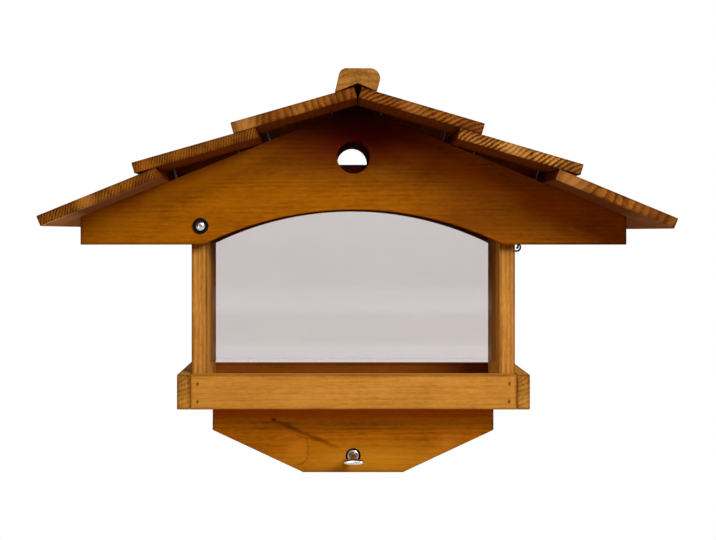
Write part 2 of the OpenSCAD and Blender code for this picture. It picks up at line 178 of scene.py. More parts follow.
class Tone:
    """The two colours of a stained board, between and in its growth rings."""

    def __init__(self, pale, dark, end_pale=None, end_dark=None):
        self.pale = srgb(*pale)
        self.dark = srgb(*dark)
        self.end_pale = srgb(*(end_pale or pale))
        self.end_dark = srgb(*(end_dark or dark))


RAIL = Tone((198, 141, 57), (150, 92, 22), (194, 138, 54), (104, 62, 14))
# The rear rail's tone is darker: painted shade, for the shade that the gable and roof cast on it
# inside the house
RAIL_SHADED = Tone((150, 86, 24), (112, 56, 8), (170, 110, 38), (98, 56, 14))
GABLE = Tone((161, 94, 1), (92, 46, 0), (130, 72, 6), (84, 38, 4))
# The beam's tone is dark: painted shade, for where it lies in shade behind the vent hole
BEAM_SHADED = Tone((120, 62, 10), (84, 38, 4), (60, 14, 6), (36, 6, 3))
POST = Tone((200, 143, 63), (128, 78, 20), (170, 116, 48), (112, 68, 22))
PANEL = Tone((194, 136, 60), (146, 92, 28), (170, 116, 48), (112, 68, 22))
FLOOR = Tone((160, 96, 30), (116, 62, 14), (150, 92, 34), (96, 50, 12))
BRACKET = Tone((167, 96, 4), (84, 39, 1), (132, 72, 10), (84, 40, 4))
PLANK = Tone((138, 78, 18), (96, 48, 6), (158, 98, 30), (78, 34, 2))
PLANK_PALE = Tone((138, 78, 18), (96, 48, 6), (206, 144, 60), (72, 30, 3))
PLANK_RED = Tone((138, 72, 14), (96, 44, 4), (158, 100, 22), (68, 31, 3))
RIDGE = Tone((150, 92, 34), (108, 60, 16), (174, 122, 54), (98, 56, 14))
DOWEL = Tone((205, 165, 110), (170, 125, 75))

# The wood's noises: size of a cell along, across and through the board, detail and roughness
RING_SWAY = ((0.30, 0.03, 0.03), 1, 0.5)
RING_RIPPLE = ((0.08, 0.009, 0.009), 2, 0.5)
RING_STRENGTH = ((0.12, 0.014, 0.014), 2, 0.5)
FIBRE = ((0.018, 0.0009, 0.0009), 3, 0.7)
STREAK = ((0.07, 0.0022, 0.0022), 3, 0.65)
PATCH = ((0.045, 0.018, 0.018), 4, 0.65)
MOTTLE = ((0.0065, 0.0024, 0.0024), 3, 0.75)

# How far the noises bend the growth rings, in ring widths
SWAY_WIDTHS = 2.2
RIPPLE_WIDTHS = 0.35

# How dark a ring is from its start to its end, and how strong it is at least and beyond that
RING_PROFILE = ((0, 0.1), (0.3, 0.15), (0.7, 0.9), (0.88, 1), (1, 0.1))
RING_LEAST = 0.5
RING_SPREAD = 0.8

# From what share of facing along the grain a face is end grain
END_GRAIN = ((0.5, 0), (0.8, 1))

# Share of a tone's dark colour: at first, what end grain adds, and how far each noise moves it
DARK_SHARE = 0.18
DARK_IN_END = 0.14
DARK_BY_FIBRE = 0.9
DARK_BY_MOTTLE = 0.9
DARK_BY_STREAK = 0.6
DARK_BY_PATCH = 0.9
DARK_BY_PATCH_IN_END = 0.7

# How far the edges darken, from stain gathered along them and painted shade in the joints between
# boards: how far that reaches from an edge, what it leaves of the colour there, and how strong it
# is at least and beyond that
EDGE_STAIN_AND_SHADE = 0.0028
STAIN_AND_SHADE = (0.36, 0.26, 0.14, 1)
STAIN_AND_SHADE_LEAST = 0.45
STAIN_AND_SHADE_SPREAD = 0.8

# The wood's gloss, how rough it is, what fibres and end grain add to that, how far its rings
# sink beside its fibres, and its relief's depth and strength
WOOD_GLOSS = 0.03
WOOD_ROUGH = 0.36
ROUGH_BY_FIBRE = 0.22
ROUGH_IN_END = 0.16
RING_SINK = -0.5
WOOD_RELIEF = (0.00025, 0.6)

# The way that a board's wide face looks, and the most that it may face along the grain
UP_AND_FRONT = Vector((0.1, -0.6, 1))
MOST_ALONG = 0.5


def board_frame(node, grain):
    """A board's middle, its turn and its half sizes: X along the grain, Z out of its wide face."""
    mesh = frame["nodes"][node].data
    areas = {}
    for face in mesh.polygons:
        normal = face.normal if face.normal.dot(UP_AND_FRONT) > 0 else -face.normal
        key = tuple(round(part, 2) for part in normal)
        areas[key] = areas.get(key, 0) + face.area
    sideways = [key for key in areas if abs(Vector(key).dot(grain)) < MOST_ALONG]
    wide = Vector(max(sideways, key=areas.get))
    wide.normalize()
    turn = Matrix((grain, wide.cross(grain), wide)).transposed()
    low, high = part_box(node)
    middle = (low + high) / 2
    inside = [turn.transposed() @ (vert.co - middle) for vert in mesh.vertices]
    return middle, turn.to_euler(), [max(place[axis] for place in inside) for axis in range(3)]


def growth_rings(shader, place, pith, width):
    """How dark the growth ring is here, round a pith at that (y, z)."""
    _, across, depth = shader.split(place)
    across = shader.calculate("SUBTRACT", across, pith[0])
    depth = shader.calculate("SUBTRACT", depth, pith[1])
    square = shader.calculate("ADD", shader.multiply(across, across), shader.multiply(depth, depth))
    radius = shader.calculate("SQRT", square)
    for noise, widths in ((RING_SWAY, SWAY_WIDTHS), (RING_RIPPLE, RIPPLE_WIDTHS)):
        radius = shader.scaled(shader.noise(place, *noise), widths * width, radius)
    phase = shader.calculate("FRACT", shader.calculate("DIVIDE", radius, width))
    strength = shader.scaled(shader.noise(place, *RING_STRENGTH), RING_SPREAD, RING_LEAST)
    return shader.multiply(shader.curve(phase, *RING_PROFILE), strength)


def edge_stain_and_shade(shader, place, half, patch):
    """How dark the edges are here, from stain and painted shade in the joints, on a board of those
    half sizes.
    """
    near = []
    for part, size in zip(shader.split(place), half):
        inward = shader.calculate("SUBTRACT", size, shader.calculate("ABSOLUTE", part))
        near.append(shader.scaled(inward, -1 / EDGE_STAIN_AND_SHADE, 1.0, clamp=True))
    edges = [shader.multiply(near[k - 1], near[k]) for k in range(3)]
    edge = shader.calculate("MAXIMUM", edges[0], shader.calculate("MAXIMUM", edges[1], edges[2]))
    return shader.multiply(edge, shader.scaled(patch, STAIN_AND_SHADE_SPREAD, STAIN_AND_SHADE_LEAST), clamp=True)


def wood(node, tone, grain, pith, ring, figure, end_figure, marks=None):
    """Stained wood cut from a log whose pith lies at that (y, z) beside the board's middle.

    ring is the width of a growth ring. figure and end_figure are how strongly the rings show
    along and across the grain, and marks is a function that paints what only this board has,
    painted light and shade among it.
    """
    shader = Shader("wood_" + node)
    middle, turn, half = board_frame(node, grain)
    place = shader.placed(shader.coords.outputs["Object"], middle, turn)
    late = growth_rings(shader, place, pith, ring)
    fibre = shader.noise(place, *FIBRE)
    patch = shader.noise(place, *PATCH)
    end = shader.curve(shader.calculate("ABSOLUTE", shader.facing(grain)), *END_GRAIN)

    # From the rings, the fibres and the stain's patches to the share of dark colour
    shown = shader.scaled(end, end_figure - figure, figure)
    share = shader.scaled(late, shown, shader.scaled(end, DARK_IN_END, DARK_SHARE))
    share = shader.swayed(share, fibre, DARK_BY_FIBRE)
    share = shader.swayed(share, shader.noise(place, *MOTTLE), DARK_BY_MOTTLE)
    share = shader.swayed(share, shader.noise(place, *STREAK), DARK_BY_STREAK)
    spread = shader.scaled(end, DARK_BY_PATCH_IN_END, DARK_BY_PATCH)
    share = shader.swayed(share, patch, spread, clamp=True)
    colour = shader.blend(end, shader.blend(share, tone.pale, tone.dark),
                          shader.blend(share, tone.end_pale, tone.end_dark))

    # Stain along the edges, with painted shade in the joints between boards
    colour = shader.blend(edge_stain_and_shade(shader, place, half, patch), colour, STAIN_AND_SHADE, "MULTIPLY")
    if marks:
        colour = marks(shader, place, colour)
    rough = shader.scaled(end, ROUGH_IN_END, shader.scaled(fibre, ROUGH_BY_FIBRE, WOOD_ROUGH))
    shader.set(Base_Color=colour, Specular_IOR_Level=WOOD_GLOSS, Roughness=rough)
    shader.bump(shader.scaled(late, RING_SINK, fibre), *WOOD_RELIEF)
    return shader.material


# Marks on the wood, painted light and shade among them, placed in metres from the middle of a board's
# wide face

# A mark is a centre, half sizes, a turn, a depth and a colour. These say how it fades from its
# middle to its rim, how far noise shakes that rim, how fine that noise is, and how far the mark
# reaches through the board, which is farther than any board is thick.
FADING = ((0.2, 1), (1, 0))
MARK_SHAKE = 0.003
SHAKE_SCALE = 140
THROUGH = 1000

# The front cheek: painted light along its top, where the rail's shadow falls, darker below that and
# pale at its foot, then a small knot with its short and its long dark streak, and two pale patches
STREAK_TURN = math.radians(-22.8)
CHEEK_MARKS_AND_LIGHT = (
    # Painted light along the top, where the rail casts its shadow
    ((0.0000, 0.0262), (0.5000, 0.0092), 0, 0.95, (230, 136, 9)),
    ((0.0000, 0.0104), (0.2000, 0.0060), 0, 0.25, (100, 48, 0)),
    ((0.0200, -0.0208), (0.1300, 0.0220), 0, 0.5, (205, 142, 30)),
    ((-0.0801, 0.0192), (0.0036, 0.0026), 0, 0.9, (48, 18, 2)),
    ((-0.0905, 0.0105), (0.0130, 0.0014), 0, 0.5, (80, 32, 0)),
    ((-0.0640, 0.0125), (0.0240, 0.0034), STREAK_TURN, 0.75, (78, 30, 0)),
    ((-0.0360, 0.0002), (0.0280, 0.0036), STREAK_TURN, 0.7, (82, 34, 0)),
    ((0.0950, -0.0035), (0.0150, 0.0110), 0.3, 0.35, (190, 120, 40)),
    ((-0.0560, -0.0080), (0.0140, 0.0160), 0, 0.3, (190, 116, 36)),
)

# Painted shade in the ring sunk round the wing screw
RECESS_CENTRE = (0, -0.017)
RECESS_R = 0.0077
RECESS_FADING = ((0.98, 1), (1, 0))
RECESS_SHADE_COLOUR = (34, 14, 2)

# The fine crack: the right half of a thin oval ring
CRACK_CENTRE = (-0.0575, -0.0110)
CRACK_SIZE = (0.0140, 0.0165)
CRACK_SHAKE = 0.009
CRACK_FADING = ((0.85, 0), (0.93, 1), (1, 0))
CRACK_DEPTH = 0.55
CRACK_COLOUR = (52, 22, 2)

# The front gable's painted light and shade: painted shade, darker and redder towards its apex
# under the roof's shadow, painted light along its slopes, painted shade on its right and painted
# light at both ends
ROOF_SLOPE = math.radians(22)
GABLE_LIGHT_AND_SHADE = (
    ((-0.0160, 0.0170), (0.1350, 0.0380), 0, 0.6, (60, 16, 0)),
    ((0.0155, 0.0420), (0.1150, 0.0380), 0, 0.95, (104, 0, 0)),
    ((0.0000, 0.0690), (0.1350, 0.0520), 0, 0.95, (22, 0, 0)),
    ((-0.1480, -0.0004), (0.0900, 0.0130), ROOF_SLOPE, 0.35, (210, 130, 10)),
    ((0.1080, 0.0015), (0.0900, 0.0150), -ROOF_SLOPE, 0.35, (200, 110, 10)),
    ((0.1150, -0.0460), (0.0800, 0.0300), 0, 0.5, (90, 36, 0)),
    ((0.2050, -0.0310), (0.0600, 0.0220), 0, 0.25, (190, 100, 5)),
    ((-0.2420, -0.0432), (0.0280, 0.0300), 0, 0.2, (200, 130, 20)),
)

# Uneven stain on the planks' front ends: place across the plank, half width, depth, colour.
# Each mark reaches so far back from the end, which lies half a plank from its middle.
END_MARKS = {
    "left_lower": ((0.012, 0.012, 0.35, (196, 132, 62)), (-0.046, 0.016, 0.35, (90, 46, 10))),
    "left_middle": ((0.0485, 0.009, 0.25, (180, 100, 34)), (-0.020, 0.040, 0.35, (82, 40, 10))),
    "left_upper": ((0.047, 0.014, 0.35, (212, 156, 80)), (-0.005, 0.009, 0.2, (196, 130, 60)),
                   (0.020, 0.014, 0.4, (84, 44, 8)), (-0.045, 0.020, 0.35, (88, 46, 8))),
    "right_upper": ((0.007, 0.015, 0.15, (205, 146, 70)), (-0.048, 0.016, 0.3, (90, 48, 12))),
    "right_middle": ((0.005, 0.015, 0.25, (222, 168, 92)), (-0.052, 0.018, 0.45, (90, 50, 15)),
                     (0.048, 0.018, 0.25, (100, 56, 18))),
    "right_lower": ((0.045, 0.022, 0.25, (212, 156, 84)), (-0.040, 0.026, 0.45, (84, 46, 10))),
}
END_MARK_REACH = 0.02
PLANK_HALF = 0.1303

# Painted light under an eave, from the ground below: between which distances from the part's
# middle it grows to its full depth, what share of that it has before, and its colour
EAVE_FROM = 0.258
EAVE_TO = 0.274
EAVE_BEFORE = 0.2
EAVE_LIGHT_COLOUR = (246, 214, 168)

# Painted light on the right wall's inner faces, which the lamps hardly reach
INSIDE_LIGHT_DEPTH = 0.75
INSIDE_LIGHT_COLOUR = (250, 196, 92)

# Where the brads' heads bruise a long rail, and the bruises' size, shake, fading and colour
BRUISES = [(x, y) for x in (-0.1535, 0.1535) for y in (0.0083, -0.0095)]
BRUISE_SIZE = (0.0021, 0.0034)
BRUISE_SHAKE = 0.0034
BRUISE_FADING = ((0.35, 0.8), (0.85, 0))
BRUISE_COLOUR = (92, 52, 12)

# From what share of facing one way a face is painted
FACING = ((0.3, 0), (0.7, 1))


def spot(shader, place, centre, size, turn=0.0, shake=0.0):
    """How far a point lies from the middle of an oval mark on a board's face, 1 at its rim."""
    if shake:
        shaken = shader.add("VectorMath", operation="MULTIPLY_ADD")
        noise = shader.add("TexNoise")
        noise.inputs["Scale"].default_value = SHAKE_SCALE
        shader.feed(noise.inputs["Vector"], place)
        shader.feed(shaken.inputs[0], noise.outputs["Color"])
        shaken.inputs[1].default_value = (shake, shake, 0)
        shader.feed(shaken.inputs[2], place)
        place = shaken.outputs[0]
        centre = (centre[0] + shake / 2, centre[1] + shake / 2)
    seen = shader.placed(place, (*centre, 0), (0, 0, turn), (*size, THROUGH))
    distance = shader.add("VectorMath", operation="LENGTH")
    shader.feed(distance.inputs[0], seen)
    return distance.outputs["Value"]


def facing_share(shader, direction):
    """1 where the surface faces that way, down to 0 where it faces aside or away."""
    return shader.curve(shader.facing(direction), *FACING)


def paint_marks(shader, place, colour, marks, within=None):
    """The colour with oval marks on it, each weakened by the share called within."""
    for centre, size, turn, depth, tint in marks:
        distance = spot(shader, place, centre, size, turn, MARK_SHAKE)
        share = shader.multiply(shader.curve(distance, *FADING), depth)
        if within is not None:
            share = shader.multiply(share, within)
        colour = shader.blend(share, colour, srgb(*tint))
    return colour


def gable_light_and_shade(shader, place, colour):
    # Painted light and shade on the front gable
    return paint_marks(shader, place, colour, GABLE_LIGHT_AND_SHADE)


def cheek_marks_light_and_shade(shader, place, colour):
    """The cheek's own marks with painted light along its top, painted shade in the sunk ring, and the
    crack.
    """
    colour = paint_marks(shader, place, colour, CHEEK_MARKS_AND_LIGHT)
    # Painted shade in the ring sunk round the wing screw
    distance = spot(shader, place, RECESS_CENTRE, (RECESS_R, RECESS_R))
    colour = shader.blend(shader.curve(distance, *RECESS_FADING), colour, srgb(*RECESS_SHADE_COLOUR))
    distance = spot(shader, place, CRACK_CENTRE, CRACK_SIZE, shake=CRACK_SHAKE)
    ring = shader.curve(distance, *CRACK_FADING)
    along = shader.split(place)[0]
    right_half = shader.calculate("GREATER_THAN", along, CRACK_CENTRE[0])
    share = shader.multiply(shader.multiply(ring, right_half), CRACK_DEPTH)
    return shader.blend(share, colour, srgb(*CRACK_COLOUR))


def rail_marks(shader, place, colour):
    """Bruised wood around the heads of a long rail's brads."""
    for centre in BRUISES:
        distance = spot(shader, place, centre, BRUISE_SIZE, shake=BRUISE_SHAKE)
        share = shader.curve(distance, *BRUISE_FADING)
        colour = shader.blend(share, colour, srgb(*BRUISE_COLOUR))
    return colour


def painted_inside_light(shader, place, colour):
    """Painted light on the faces of a board on the right that look into the house."""
    share = shader.multiply(facing_share(shader, -X_AXIS), INSIDE_LIGHT_DEPTH)
    return shader.blend(share, colour, srgb(*INSIDE_LIGHT_COLOUR))


def painted_eave_light(shader, colour, depth):
    """Painted light from the ground on a plank's lower face, most of all past the gables' ends."""
    away = shader.calculate("ABSOLUTE", shader.split(shader.coords.outputs["Object"])[0])
    share = shader.curve(away, (EAVE_FROM, EAVE_BEFORE * depth), (EAVE_TO, depth))
    share = shader.multiply(share, facing_share(shader, -Z_AXIS))
    return shader.blend(share, colour, srgb(*EAVE_LIGHT_COLOUR))


def plank_marks(plank, eave_light_depth):
    """Paints the stain on one plank's front end, and painted light from the ground under its eave
    where it has some.
    """
    end_marks = [((-PLANK_HALF, across), (END_MARK_REACH, half), 0, depth, tint)
                 for across, half, depth, tint in END_MARKS[plank]]

    def marks(shader, place, colour):
        front = facing_share(shader, -Y_AXIS)
        colour = paint_marks(shader, place, colour, end_marks, front)
        return painted_eave_light(shader, colour, eave_light_depth) if eave_light_depth else colour
    return marks


# Metal and acrylic

# Fine scratches and dull blots of metal: their noises, what scratches add to the roughness,
# what a blot leaves of the colour, and the scratches' depth and strength
SCRATCH = ((0.0004, 0.0015, 0.0004), 3)
BLOT = ((0.004, 0.004, 0.004), 2)
SCRATCH_ROUGH = 0.12
BLOT_LEFT = 0.72
METAL_RELIEF = (0.00004, 0.5)

# A pane: the noise of its haze, its roughness, the share of light that it mirrors straight on,
# and how steeply that grows towards its edges
HAZE = ((0.09, 0.05, 0.035), 2)
PANE_ROUGH = 0.04
PANE_MIRROR = 0.04
MIRROR_POWER = 5


def metal(name, colour, rough):
    """Bare or plated steel with fine scratches."""
    shader = Shader(name)
    place = shader.coords.outputs["Object"]
    scratch = shader.noise(place, *SCRATCH)
    dull = tuple(part * BLOT_LEFT for part in colour[:3]) + (1,)
    shader.set(Base_Color=shader.blend(shader.noise(place, *BLOT), colour, dull), Metallic=1.0,
               Roughness=shader.scaled(scratch, SCRATCH_ROUGH, rough))
    shader.bump(scratch, *METAL_RELIEF)
    return shader.material


def acrylic(name, tint, hazy_tint):
    """Clear sheet that passes tinted light, with a faint haze from wiping."""
    shader = Shader(name)
    shader.tree.nodes.remove(shader.surface)
    haze = shader.noise(shader.coords.outputs["Object"], *HAZE)
    clear = shader.add("BsdfTransparent")
    shader.feed(clear.inputs["Color"], shader.blend(haze, tint, hazy_tint))
    gloss = shader.add("BsdfGlossy")
    gloss.inputs["Color"].default_value = WHITE
    gloss.inputs["Roughness"].default_value = PANE_ROUGH
    # The same share of mirror on either side of the sheet, as no ray bends in it
    edgewise = shader.add("LayerWeight")
    steep = shader.calculate("POWER", edgewise.outputs["Facing"], MIRROR_POWER)
    mix = shader.add("MixShader")
    shader.feed(mix.inputs[0], shader.scaled(steep, 1 - PANE_MIRROR, PANE_MIRROR))
    shader.feed(mix.inputs[1], clear.outputs[0])
    shader.feed(mix.inputs[2], gloss.outputs[0])
    shader.feed(shader.output.inputs["Surface"], mix.outputs[0])
    return shader.material


# Pieces

# Points of a CAD mesh that are this close become one. The angles between two faces, in degrees:
# below FLAT_ANGLE their edge goes, above EASED_ANGLE it is eased, and above the last two it
# stays sharp to the light, on eased pieces and on pieces made here.
MERGE_DISTANCE = 1e-6
FLAT_ANGLE = 0.5
EASED_ANGLE = 35
SHARP_ANGLE = 40
SHARP_ANGLE_MADE = 50

# How edges are eased: width, steps, and the least span of a run of edges that is
BOARD_EASE = (0.0008, 2, 0.02)
PANE_EASE = (0.0004, 2, 0.02)
STEEL_EASE = (0.00015, 2, 0.002)
WASHER_EASE = (0.0004, 3, 0.002)
DOWEL_EASE = (0.0003, 2, 0.002)


def add_object(name, data):
    added = bpy.data.objects.new(name, data)
    bpy.context.scene.collection.objects.link(added)
    return added


def shade_smooth(mesh, sharp_angle):
    for face in mesh.polygons:
        face.use_smooth = True
    mesh.set_sharp_from_angle(angle=math.radians(sharp_angle))


def stand_for(piece, node):
    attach(piece, body_of_node[node])
    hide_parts(node)


def dress(piece, material, slot):
    piece.data.materials.clear()
    piece.data.materials.append(material)


def merged(node):
    """A CAD node's mesh to work on, with its double points merged."""
    bm = bmesh.new()
    bm.from_mesh(frame["nodes"][node].data)
    bmesh.ops.remove_doubles(bm, verts=bm.verts, dist=MERGE_DISTANCE)
    return bm


def sharp_runs(bm, least_angle):
    """The mesh's sharp edges, in runs that touch each other."""
    sharp = {edge for edge in bm.edges
             if len(edge.link_faces) == 2 and edge.calc_face_angle(0) > least_angle}
    while sharp:
        run, front = set(), {sharp.pop()}
        while front:
            edge = front.pop()
            run.add(edge)
            for vert in edge.verts:
                touching = {other for other in vert.link_edges if other in sharp}
                sharp -= touching
                front |= touching
        yield run


def box_of(places):
    return Vector(map(min, *places)), Vector(map(max, *places))


def span(edges):
    """The diagonal of the box around some edges."""
    low, high = box_of([vert.co for edge in edges for vert in edge.verts])
    return (high - low).length


def eased(node, width, steps, least_span):
    """A copy of a CAD piece with its edges softened, which stands for it. Small holes stay sharp."""
    bm = merged(node)
    bmesh.ops.dissolve_limit(bm, angle_limit=math.radians(FLAT_ANGLE), verts=bm.verts, edges=bm.edges)
    edges = [edge for run in sharp_runs(bm, math.radians(EASED_ANGLE)) for edge in run
             if span(run) > least_span]
    bmesh.ops.bevel(bm, geom=edges, offset=width, segments=steps, profile=0.5,
                    affect="EDGES", clamp_overlap=False)
    mesh = frame["nodes"][node].data.copy()
    bm.to_mesh(mesh)
    bm.free()
    shade_smooth(mesh, SHARP_ANGLE)
    piece = add_object(node + "_eased", mesh)
    normals = piece.modifiers.new("even_faces", "WEIGHTED_NORMAL")
    normals.keep_sharp = True
    stand_for(piece, node)
    return piece


def cover(bm, rings, closed=False):
    """Adds a skin over rings of as many points each, with flat ends, or closed from last to first."""
    skin = [[bm.verts.new(point) for point in ring] for ring in rings]
    count = len(skin[0])
    for ring, following in zip(skin, skin[1:] + skin[:1] if closed else skin[1:]):
        for k in range(count):
            after = (k + 1) % count
            bm.faces.new((ring[k], ring[after], following[after], following[k]))
    if not closed:
        bm.faces.new(reversed(skin[0]))
        bm.faces.new(skin[-1])
    bmesh.ops.recalc_face_normals(bm, faces=bm.faces)


def piece_from(bm, name):
    mesh = bpy.data.meshes.new(name)
    bm.to_mesh(mesh)
    bm.free()
    shade_smooth(mesh, SHARP_ANGLE_MADE)
    return add_object(name, mesh)


def lofted(name, rings, closed=False):
    bm = bmesh.new()
    cover(bm, rings, closed)
    return piece_from(bm, name)


def angles(count):
    return [2 * math.pi * k / count for k in range(count)]


def turned_ring(axis, y, radius, count):
    """Points round a line along Y at that (x, z). radius is a length, or a function of the angle."""
    radius_at = radius if callable(radius) else lambda angle: radius
    x, z = axis
    return [(x + radius_at(angle) * math.cos(angle), y, z + radius_at(angle) * math.sin(angle))
            for angle in angles(count)]


def lengthwise(node):
    """A node's box, and the (x, z) of the line along Y through its middle."""
    low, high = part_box(node)
    return low, high, ((low.x + high.x) / 2, (low.z + high.z) / 2)


# Boards and panes

# The planks: side and course, tone, pith, ring width, how strongly the rings show in the end
# grain, and how much painted light lies under the eave. Along the grain they show by PLANK_FIGURE.
PLANKS = (
    ("left_lower", PLANK_RED, (-0.30, -0.20), 0.0026, 0.65, 1.0),
    ("left_middle", PLANK_RED, (-0.34, -0.14), 0.0024, 0.62, 0),
    ("left_upper", PLANK, (-0.3, -0.05), 0.0066, 0.6, 0),
    ("right_upper", PLANK, (-0.2, -0.24), 0.0040, 0.85, 0),
    ("right_middle", PLANK_PALE, (-0.22, -0.2), 0.0038, 0.9, 0),
    ("right_lower", PLANK, (-0.3, -0.08), 0.0088, 0.6, 0.35),
)
PLANK_FIGURE = 0.45

# The dowels' wood: grain, pith, ring width, and how strongly the rings show
DOWEL_CUT = (Y_AXIS, (0.02, -0.02), 0.002, 0.16, 0.9)


def boards():
    """Each board: node, tone, record slot, and how it is cut from its log.

    A cut is the grain, the pith beside the board's middle, the ring width, how strongly the
    rings show along and across the grain, and any marks.
    """
    gable = GABLE, "gable_wood", X_AXIS, (0.30, 0.10), 0.0045, 0.2, 0.5
    yield "gable_front", *gable, gable_light_and_shade
    yield "gable_rear", *gable
    for end in ENDS:
        # The rear rail takes the darker tone of painted shade
        tone = RAIL if end == "front" else RAIL_SHADED
        yield ("tray_rail_" + end, tone, "rail_wood", X_AXIS, (0.14, -0.20), 0.0040, 0.18, 0.6,
               rail_marks)
        for side in SIDES:
            # Painted light on the right posts' inner faces
            inside = painted_inside_light if side == "right" else None
            yield (f"post_{end}_{side}", POST, "wall_wood", Z_AXIS, (0.08, -0.12), 0.0042, 0.4, 0.6,
                   inside)
    yield ("bracket_cheek_front", BRACKET, "bracket_wood", X_AXIS, (-0.10, 0.06), 0.005, 0.2, 0.6,
           cheek_marks_light_and_shade)
    yield "bracket_cheek_rear", BRACKET, "bracket_wood", X_AXIS, (-0.14, 0.09), 0.005, 0.2, 0.6
    for side in SIDES:
        # Painted light on the right panel's inner faces
        inside = painted_inside_light if side == "right" else None
        yield "tray_rail_" + side, RAIL, "rail_wood", Y_AXIS, (0.10, -0.06), 0.0045, 0.14, 0.4
        yield ("side_panel_" + side, PANEL, "wall_wood", Z_AXIS, (0.05, -0.15), 0.0045, 0.2, 0.6,
               inside)
        yield "bracket_block_" + side, BRACKET, "bracket_wood", Z_AXIS, (0.05, -0.1), 0.004, 0.2, 0.6
    yield "tray_floor", FLOOR, "floor_wood", X_AXIS, (0.02, -0.14), 0.0045, 0.25, 0.6
    # The beam's dark tone is painted shade
    yield "spreader_beam", BEAM_SHADED, "gable_wood", Y_AXIS, (0.05, -0.09), 0.004, 0.2, 0.6
    yield "rest_batten", GABLE, "gable_wood", Y_AXIS, (0.05, -0.09), 0.004, 0.2, 0.6
    yield "ridge_cap", RIDGE, "ridge_wood", Y_AXIS, (0.03, -0.12), 0.006, 0.2, 0.36
    for plank, tone, pith, ring, end_figure, eave_light_depth in PLANKS:
        yield ("plank_" + plank, tone, "plank_wood", Y_AXIS, pith, ring, PLANK_FIGURE, end_figure,
               plank_marks(plank, eave_light_depth))


def make_boards():
    for node, tone, slot, *cut in boards():
        dress(eased(node, *BOARD_EASE), wood(node, tone, *cut), slot)


def make_dowels():
    for node in ("wall_dowels", "roof_dowels"):
        dress(eased(node, *DOWEL_EASE), wood(node, DOWEL, *DOWEL_CUT), "dowel_wood")


def make_panes():
    """The front pane still wears its thin grey film."""
    film = acrylic("pane_film", srgb(235, 231, 230), srgb(233, 229, 228))
    clear = acrylic("pane_acrylic", srgb(255, 255, 255), srgb(253, 253, 253))
    dress(eased("pane_front", *PANE_EASE), film, "pane_acrylic")
    dress(eased("pane_rear", *PANE_EASE), clear, "pane_acrylic")


# Metal pieces

# Cross recess of a wood screw, as shares of its head's width: an arm's reach and half its
# width, and the heights that it runs between, each with its size there
CROSS_REACH = 0.33
CROSS_HALF = 0.075
CROSS_TAPER = ((0.05, 1.08), (-0.24, 0.45))

# How near a point of a wood screw is to its top, where it lies on the head's face
RIM_DISTANCE = 1e-5

# Wing screw: its wings' depth and thickness, its smooth neck, and its thread
WING_DEPTH = 0.0108
WING_THICK = 0.0058
NECK_LEN = 0.016
SHANK_R = 0.003
THREAD_PITCH = 0.001
THREAD_DEPTH = 0.0004

# The neck as (distance behind the wings' front, radius)
NECK_SECTION = (
    (WING_DEPTH * 0.5, 0.0021), (WING_DEPTH * 0.8, 0.0022), (NECK_LEN - 0.0024, 0.0023),
    (NECK_LEN - 0.0014, 0.0029), (NECK_LEN - 0.0006, 0.0031), (NECK_LEN - 0.0002, 0.0029),
)

# The wings' outline: how blunt they end, what is left of them at the tips, how fast they reach
# their full depth from there, and how much thinner they get
WING_BLUNTNESS = 4
TIP_LEFT = 0.03
TIP_DEEPENING = 1.5
TIP_THINNING = 0.25

# Each wing's ear: its place and width along the wing, how much of the depth only it has, and
# how far the rest stands back
EAR_PLACE = 0.62
EAR_WIDTH = 0.34
EAR_DEPTH = 0.2
EAR_LEAD = 0.0006

# Threaded insert: half its section as (radius, distance behind its face)
INSERT_SECTION = (
    (0.00325, 0.0120), (0.00325, 0.0024), (0.00420, 0.0017), (0.00425, 0.0007), (0.00455, 0.0002),
    (0.00500, 0.0000), (0.00545, 0.0002), (0.00570, 0.0006), (0.00570, 0.0013), (0.00545, 0.0015),
    (0.00448, 0.0015), (0.00440, 0.0030), (0.00448, 0.0045), (0.00440, 0.0060), (0.00448, 0.0075),
    (0.00440, 0.0090), (0.00448, 0.0105), (0.00430, 0.0120),
)

# Points round the shank, a wing's section and the insert, rings of points in a turn of the
# thread, and sections in a wing
SHANK_POINTS = 24
WING_POINTS = 20
INSERT_POINTS = 40
THREAD_RINGS = 6
WING_SECTIONS = 16


def head_faces(node, outward):
    """The middle and the width of each head's face, in a node of several screws."""
    bm = merged(node)
    unseen = set(bm.verts)
    for first in bm.verts:
        if first not in unseen:
            continue
        unseen.remove(first)
        front, screw = [first], []
        while front:
            vert = front.pop()
            screw.append(vert.co.copy())
            touching = {edge.other_vert(vert) for edge in vert.link_edges} & unseen
            unseen -= touching
            front.extend(touching)
        top = max(place.dot(outward) for place in screw)
        low, high = box_of([place for place in screw if top - place.dot(outward) < RIM_DISTANCE])
        yield (low + high) / 2, max(high - low)
    bm.free()


def cross_outline(reach, half):
    """A cross's corners: those of one arm, turned to the other three."""
    corners = [(half, reach), (-half, reach), (-half, half)]
    outline = []
    for _ in range(4):
        outline += corners
        corners = [(-y, x) for x, y in corners]
    return outline


def cut_crosses(piece, node, outward):
    """Sinks a cross recess into every head of a piece that stands for some wood screws."""
    side = outward.orthogonal().normalized()
    up = outward.cross(side)
    bm = bmesh.new()
    for middle, width in head_faces(node, outward):
        outline = cross_outline(CROSS_REACH * width, CROSS_HALF * width)
        cover(bm, [[middle + outward * rise * width + (side * x + up * y) * size for x, y in outline]
                   for rise, size in CROSS_TAPER])
    cutter = piece_from(bm, "cutter")
    cut = piece.modifiers.new("recesses", "BOOLEAN")
    cut.operation = "DIFFERENCE"
    cut.solver = "EXACT"
    cut.object = cutter
    graph = bpy.context.evaluated_depsgraph_get()
    mesh = bpy.data.meshes.new_from_object(piece.evaluated_get(graph))
    piece.modifiers.clear()
    piece.data = mesh
    bpy.data.objects.remove(cutter)


